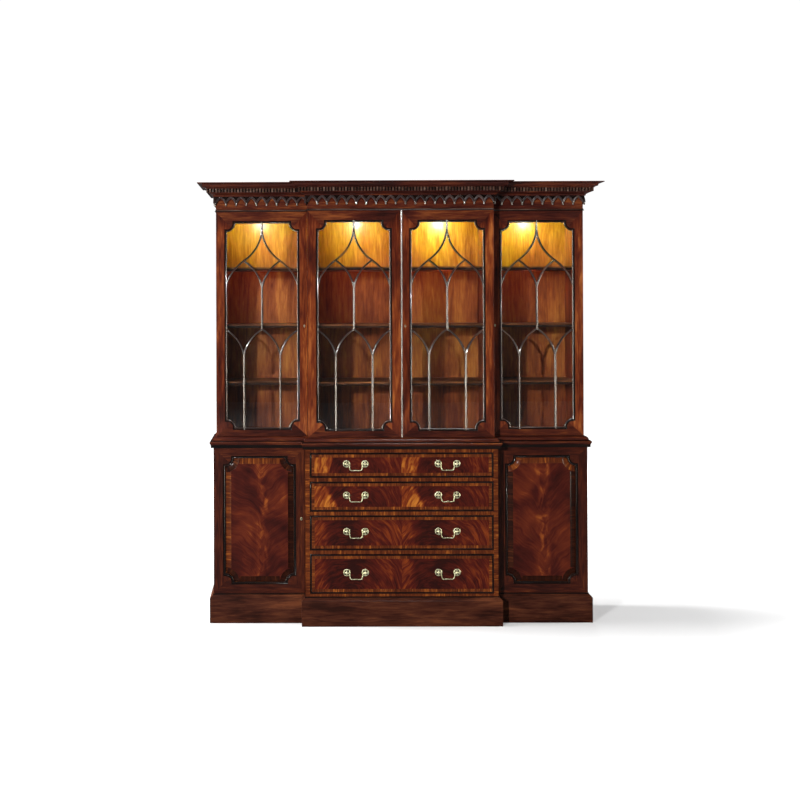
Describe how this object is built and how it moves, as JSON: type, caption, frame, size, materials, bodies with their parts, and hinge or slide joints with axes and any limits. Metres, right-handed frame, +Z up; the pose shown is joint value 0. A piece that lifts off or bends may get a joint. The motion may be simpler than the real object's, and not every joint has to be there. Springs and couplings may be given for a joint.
{
  "type": "china cabinet",
  "caption": "Breakfront china cabinet: glazed doors with gothic tracery over a base with drawers between two panelled cupboards, arcaded frieze and dentil cornice.",
  "frame": {"origin": "on the floor, at the middle of the whole width and of the whole depth", "axes": "+X to the right seen from the front, +Y to the back, +Z up; the doors and drawers face -Y"},
  "size_m": [2.1, 0.522, 2.286],
  "materials": {
    "mahogany": "dark red-brown mahogany, polished lacquer",
    "flame_veneer": "flame figured mahogany veneer, polished lacquer",
    "interior_wood": "lighter straight-grained mahogany, satin",
    "glass": "clear",
    "brass": "pale antiqued brass"
  },
  "bodies": {
    "case": {"plinth": "mahogany", "base_side_left": "mahogany", "base_side_right": "mahogany", "base_partition_left": "mahogany", "base_partition_right": "mahogany", "drawer_frame": "mahogany", "waist_board": "mahogany", "upper_side_left": "mahogany", "upper_side_right": "mahogany", "upper_partition_left": "mahogany", "upper_partition_right": "mahogany", "arcade_frieze": "mahogany", "crown_cornice": "mahogany", "base_bottom": "interior_wood", "base_back": "interior_wood", "cupboard_shelf_left": "interior_wood", "cupboard_shelf_right": "interior_wood", "upper_ceiling": "interior_wood", "upper_back": "interior_wood", "shelf_left_1": "interior_wood", "shelf_left_2": "interior_wood", "shelf_left_3": "interior_wood", "shelf_centre_1": "interior_wood", "shelf_centre_2": "interior_wood", "shelf_centre_3": "interior_wood", "shelf_right_1": "interior_wood", "shelf_right_2": "interior_wood", "shelf_right_3": "interior_wood", "light_wing_left": "brass", "light_centre_left": "brass", "light_centre_right": "brass", "light_wing_right": "brass"},
    "display_door_wing_left": {"door_frame_wing_left": "mahogany", "glass_wing_left": "glass", "tracery_wing_left": "mahogany"},
    "display_door_centre_left": {"door_frame_centre_left": "mahogany", "glass_centre_left": "glass", "tracery_centre_left": "mahogany"},
    "display_door_centre_right": {"door_frame_centre_right": "mahogany", "glass_centre_right": "glass", "tracery_centre_right": "mahogany"},
    "display_door_wing_right": {"door_frame_wing_right": "mahogany", "glass_wing_right": "glass", "tracery_wing_right": "mahogany"},
    "cupboard_leaf_left": {"cupboard_door_left": "mahogany", "cupboard_panel_left": "flame_veneer"},
    "cupboard_leaf_right": {"cupboard_door_right": "mahogany", "cupboard_panel_right": "flame_veneer"},
    "drawer_box_1": {"drawer_1": "flame_veneer"},
    "pull_1_left": {"bail_1_left": "brass"},
    "pull_1_right": {"bail_1_right": "brass"},
    "drawer_box_2": {"drawer_2": "flame_veneer"},
    "pull_2_left": {"bail_2_left": "brass"},
    "pull_2_right": {"bail_2_right": "brass"},
    "drawer_box_3": {"drawer_3": "flame_veneer"},
    "pull_3_left": {"bail_3_left": "brass"},
    "pull_3_right": {"bail_3_right": "brass"},
    "drawer_box_4": {"drawer_4": "flame_veneer"},
    "pull_4_left": {"bail_4_left": "brass"},
    "pull_4_right": {"bail_4_right": "brass"}
  },
  "joints": [
    {"name": "display_door_wing_left_hinge", "type": "hinge", "parent": "case", "child": "display_door_wing_left", "pos_m": [-0.947, -0.083, 0.965], "axis": [0, 0, -1], "range_deg": [0, 95]},
    {"name": "display_door_centre_left_hinge", "type": "hinge", "parent": "case", "child": "display_door_centre_left", "pos_m": [-0.47, -0.158, 0.965], "axis": [0, 0, -1], "range_deg": [0, 95]},
    {"name": "display_door_centre_right_hinge", "type": "hinge", "parent": "case", "child": "display_door_centre_right", "pos_m": [0.47, -0.158, 0.965], "axis": [0, 0, 1], "range_deg": [0, 95]},
    {"name": "display_door_wing_right_hinge", "type": "hinge", "parent": "case", "child": "display_door_wing_right", "pos_m": [0.947, -0.083, 0.965], "axis": [0, 0, 1], "range_deg": [0, 95]},
    {"name": "cupboard_left_hinge", "type": "hinge", "parent": "case", "child": "cupboard_leaf_left", "pos_m": [-0.962, -0.098, 0.151], "axis": [0, 0, -1], "range_deg": [0, 95]},
    {"name": "cupboard_right_hinge", "type": "hinge", "parent": "case", "child": "cupboard_leaf_right", "pos_m": [0.962, -0.098, 0.151], "axis": [0, 0, 1], "range_deg": [0, 95]},
    {"name": "drawer_1_slide", "type": "slide", "parent": "case", "child": "drawer_box_1", "axis": [0, -1, 0], "range_m": [0, 0.3]},
    {"name": "bail_1_left_swing", "type": "hinge", "parent": "drawer_box_1", "child": "pull_1_left", "pos_m": [-0.236, -0.1935, 0.83225], "axis": [-1, 0, 0], "range_deg": [0, 90]},
    {"name": "bail_1_right_swing", "type": "hinge", "parent": "drawer_box_1", "child": "pull_1_right", "pos_m": [0.236, -0.1935, 0.83225], "axis": [-1, 0, 0], "range_deg": [0, 90]},
    {"name": "drawer_2_slide", "type": "slide", "parent": "case", "child": "drawer_box_2", "axis": [0, -1, 0], "range_m": [0, 0.3]},
    {"name": "bail_2_left_swing", "type": "hinge", "parent": "drawer_box_2", "child": "pull_2_left", "pos_m": [-0.236, -0.1935, 0.671], "axis": [-1, 0, 0], "range_deg": [0, 90]},
    {"name": "bail_2_right_swing", "type": "hinge", "parent": "drawer_box_2", "child": "pull_2_right", "pos_m": [0.236, -0.1935, 0.671], "axis": [-1, 0, 0], "range_deg": [0, 90]},
    {"name": "drawer_3_slide", "type": "slide", "parent": "case", "child": "drawer_box_3", "axis": [0, -1, 0], "range_m": [0, 0.3]},
    {"name": "bail_3_left_swing", "type": "hinge", "parent": "drawer_box_3", "child": "pull_3_left", "pos_m": [-0.236, -0.1935, 0.4845], "axis": [-1, 0, 0], "range_deg": [0, 90]},
    {"name": "bail_3_right_swing", "type": "hinge", "parent": "drawer_box_3", "child": "pull_3_right", "pos_m": [0.236, -0.1935, 0.4845], "axis": [-1, 0, 0], "range_deg": [0, 90]},
    {"name": "drawer_4_slide", "type": "slide", "parent": "case", "child": "drawer_box_4", "axis": [0, -1, 0], "range_m": [0, 0.3]},
    {"name": "bail_4_left_swing", "type": "hinge", "parent": "drawer_box_4", "child": "pull_4_left", "pos_m": [-0.236, -0.1935, 0.27325], "axis": [-1, 0, 0], "range_deg": [0, 90]},
    {"name": "bail_4_right_swing", "type": "hinge", "parent": "drawer_box_4", "child": "pull_4_right", "pos_m": [0.236, -0.1935, 0.27325], "axis": [-1, 0, 0], "range_deg": [0, 90]}
  ]
}
